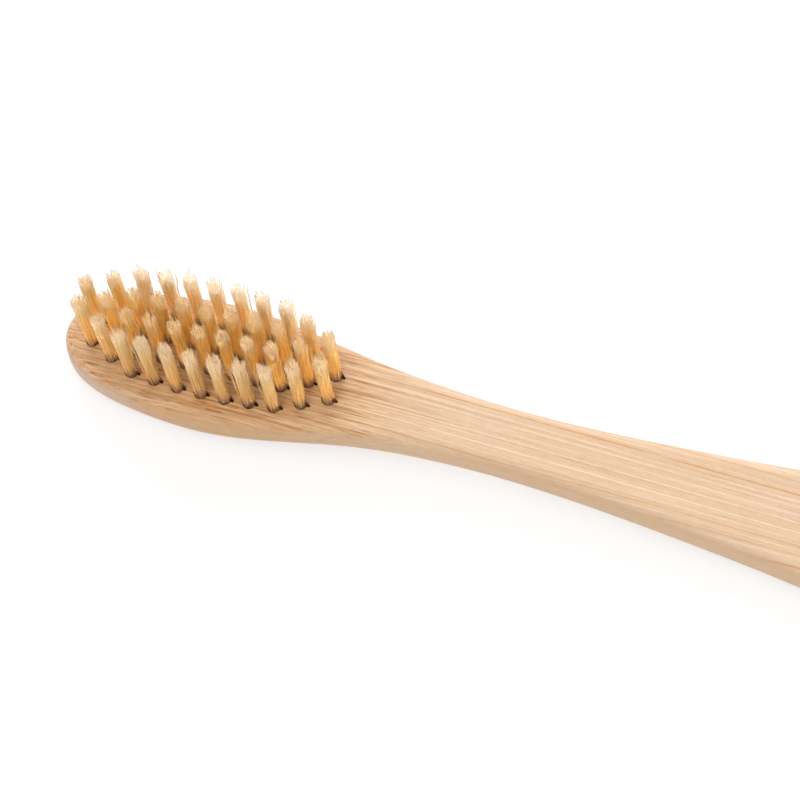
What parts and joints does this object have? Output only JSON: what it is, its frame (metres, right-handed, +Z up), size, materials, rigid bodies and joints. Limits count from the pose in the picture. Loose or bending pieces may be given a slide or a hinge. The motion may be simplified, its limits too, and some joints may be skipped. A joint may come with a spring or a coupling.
{
  "type": "toothbrush",
  "caption": "Manual toothbrush with a one-piece bamboo body, a gently bowed neck and round tufts of bristle held in blind holes by flat wire anchors.",
  "frame": {"origin": "on the table under the middle of the brush: the centre of the bottom of its box", "axes": "+X from the tip of the head to the end of the handle, +Y across the brush, +Z up, the way the bristles point; the brush lies on its back"},
  "size_m": [0.19, 0.0154, 0.0155],
  "materials": {
    "bamboo": "sanded bamboo, satin, fine grain along the brush",
    "bristle": "undyed filament, cream at the cut tips",
    "anchor_wire": "rolled flat wire, cut to length"
  },
  "bodies": {
    "root": {"anchors_01": "anchor_wire", "anchors_02": "anchor_wire", "anchors_03": "anchor_wire", "anchors_04": "anchor_wire", "anchors_05": "anchor_wire", "anchors_06": "anchor_wire", "anchors_07": "anchor_wire", "anchors_08": "anchor_wire", "anchors_09": "anchor_wire", "anchors_10": "anchor_wire", "anchors_11": "anchor_wire", "handle": "bamboo", "tuft_01_b": "bristle", "tuft_01_c": "bristle", "tuft_02_a": "bristle", "tuft_02_d": "bristle", "tuft_02_m": "bristle", "tuft_03_a": "bristle", "tuft_03_b": "bristle", "tuft_03_c": "bristle", "tuft_03_d": "bristle", "tuft_04_a": "bristle", "tuft_04_b": "bristle", "tuft_04_c": "bristle", "tuft_04_d": "bristle", "tuft_05_a": "bristle", "tuft_05_b": "bristle", "tuft_05_c": "bristle", "tuft_05_d": "bristle", "tuft_06_a": "bristle", "tuft_06_b": "bristle", "tuft_06_c": "bristle", "tuft_06_d": "bristle", "tuft_07_a": "bristle", "tuft_07_b": "bristle", "tuft_07_c": "bristle", "tuft_07_d": "bristle", "tuft_08_a": "bristle", "tuft_08_b": "bristle", "tuft_08_c": "bristle", "tuft_08_d": "bristle", "tuft_09_a": "bristle", "tuft_09_b": "bristle", "tuft_09_c": "bristle", "tuft_09_d": "bristle", "tuft_10_a": "bristle", "tuft_10_d": "bristle", "tuft_10_m": "bristle", "tuft_11_b": "bristle", "tuft_11_c": "bristle"}
  },
  "joints": []
}
